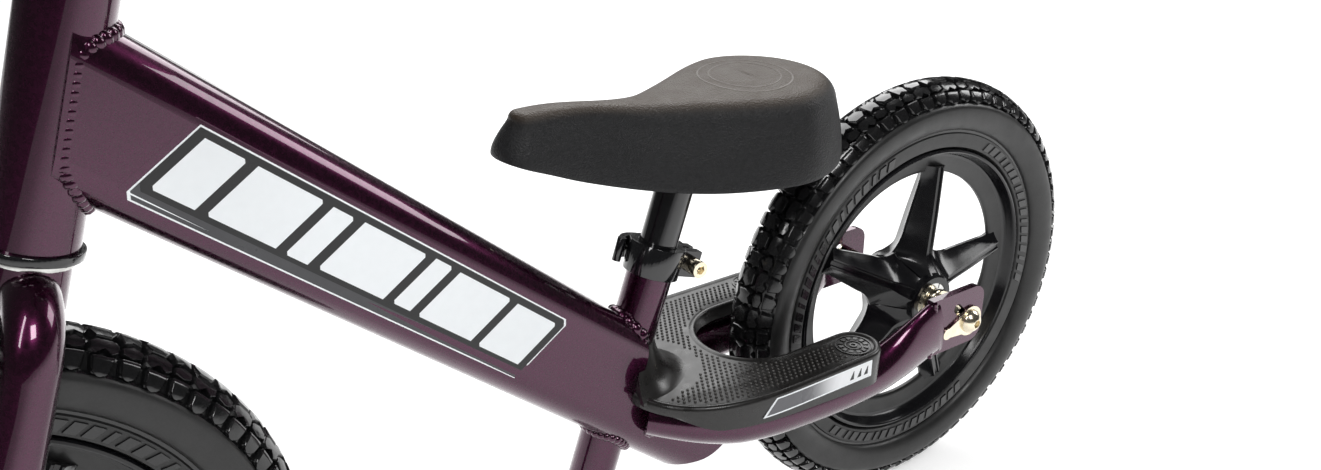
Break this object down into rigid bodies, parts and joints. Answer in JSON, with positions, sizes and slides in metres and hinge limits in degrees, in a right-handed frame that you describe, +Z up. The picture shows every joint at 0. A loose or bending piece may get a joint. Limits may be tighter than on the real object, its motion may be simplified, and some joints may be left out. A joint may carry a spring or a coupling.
{
  "type": "balance bike",
  "caption": "Child's balance bike: aluminium frame, moulded star-spoke wheels with foam tyres, slim saddle, U-shaped footrest, quick-release seat and handlebar.",
  "frame": {"origin": "on the ground, halfway between the axles, in the bike's centre plane", "axes": "+X forward, +Y the rider's left, +Z up"},
  "size_m": [0.8779, 0.352, 0.5323],
  "materials": {
    "frame_paint": "deep plum metallic, glossy",
    "black_metal": "satin black",
    "zinc": "polished, pale yellow zinc",
    "bearing_steel": "ground",
    "wheel_plastic": "gloss black",
    "tyre_foam": "matt foam skin, shiny tread",
    "footrest_plastic": "fine dotted grip with smooth rims",
    "saddle_skin": "fine grained, satin",
    "under_plastic": "matt black",
    "grip_rubber": "matt ribbed",
    "pad_cloth": "woven, stitched"
  },
  "bodies": {
    "frame": {"main_tube": "frame_paint", "seat_tube": "frame_paint", "head_tube": "frame_paint", "stay_left": "frame_paint", "stay_right": "frame_paint", "dropout_left": "frame_paint", "dropout_right": "frame_paint", "footrest": "footrest_plastic", "headset_lower_cup": "black_metal", "headset_upper_cup": "black_metal", "seat_collar": "black_metal", "seat_skewer": "zinc", "seat_skewer_nut": "zinc", "rear_bearing_inners": "bearing_steel", "rear_axle": "bearing_steel", "rear_spacers": "zinc", "rear_washers": "zinc", "rear_bolts": "zinc"},
    "seat_lever": {"seat_lever": "black_metal"},
    "seat": {"seat_post": "black_metal", "saddle_base": "under_plastic", "saddle_bolts": "zinc", "saddle": "saddle_skin"},
    "rear_wheel": {"rear_tyre": "tyre_foam", "rear_rim": "wheel_plastic", "rear_spokes": "wheel_plastic", "rear_bearing_outers": "bearing_steel"},
    "fork": {"fork_steerer": "frame_paint", "fork_leg_left": "frame_paint", "fork_leg_right": "frame_paint", "fork_dropout_left": "frame_paint", "fork_dropout_right": "frame_paint", "headset_crown_race": "bearing_steel", "headset_top_nut": "black_metal", "bar_collar": "black_metal", "bar_skewer": "zinc", "bar_skewer_nut": "zinc", "front_bearing_inners": "bearing_steel", "front_axle": "bearing_steel", "front_spacers": "zinc", "front_washers": "zinc", "front_bolts": "zinc"},
    "bar_lever": {"bar_lever": "black_metal"},
    "handlebar": {"handlebar_post": "black_metal", "handlebar_bar": "black_metal", "handlebar_pad": "pad_cloth", "grip_left": "grip_rubber", "grip_right": "grip_rubber"},
    "front_wheel": {"front_tyre": "tyre_foam", "front_rim": "wheel_plastic", "front_spokes": "wheel_plastic", "front_bearing_outers": "bearing_steel"}
  },
  "joints": [
    {"name": "steering", "type": "hinge", "parent": "frame", "child": "fork", "pos_m": [0.2186, 0, 0.3391], "axis": [-0.3256, 0, 0.9455], "continuous": true},
    {"name": "rear_wheel_spin", "type": "hinge", "parent": "frame", "child": "rear_wheel", "pos_m": [-0.289, 0, 0.15], "axis": [0, 1, 0], "continuous": true},
    {"name": "front_wheel_spin", "type": "hinge", "parent": "fork", "child": "front_wheel", "pos_m": [0.289, 0, 0.15], "axis": [0, 1, 0], "continuous": true},
    {"name": "seat_height", "type": "slide", "parent": "frame", "child": "seat", "axis": [-0.3322, 0, 0.9432], "range_m": [-0.015, 0.08]},
    {"name": "handlebar_height", "type": "slide", "parent": "fork", "child": "handlebar", "axis": [-0.3256, 0, 0.9455], "range_m": [-0.01, 0.06]},
    {"name": "seat_lever_swing", "type": "hinge", "parent": "frame", "child": "seat_lever", "pos_m": [-0.09748, -0.0135, 0.22428], "axis": [0.3322, 0, -0.9432], "range_deg": [0, 150]},
    {"name": "bar_lever_swing", "type": "hinge", "parent": "fork", "child": "bar_lever", "pos_m": [0.16133, -0.0135, 0.43784], "axis": [0.3256, 0, -0.9455], "range_deg": [0, 150]}
  ]
}
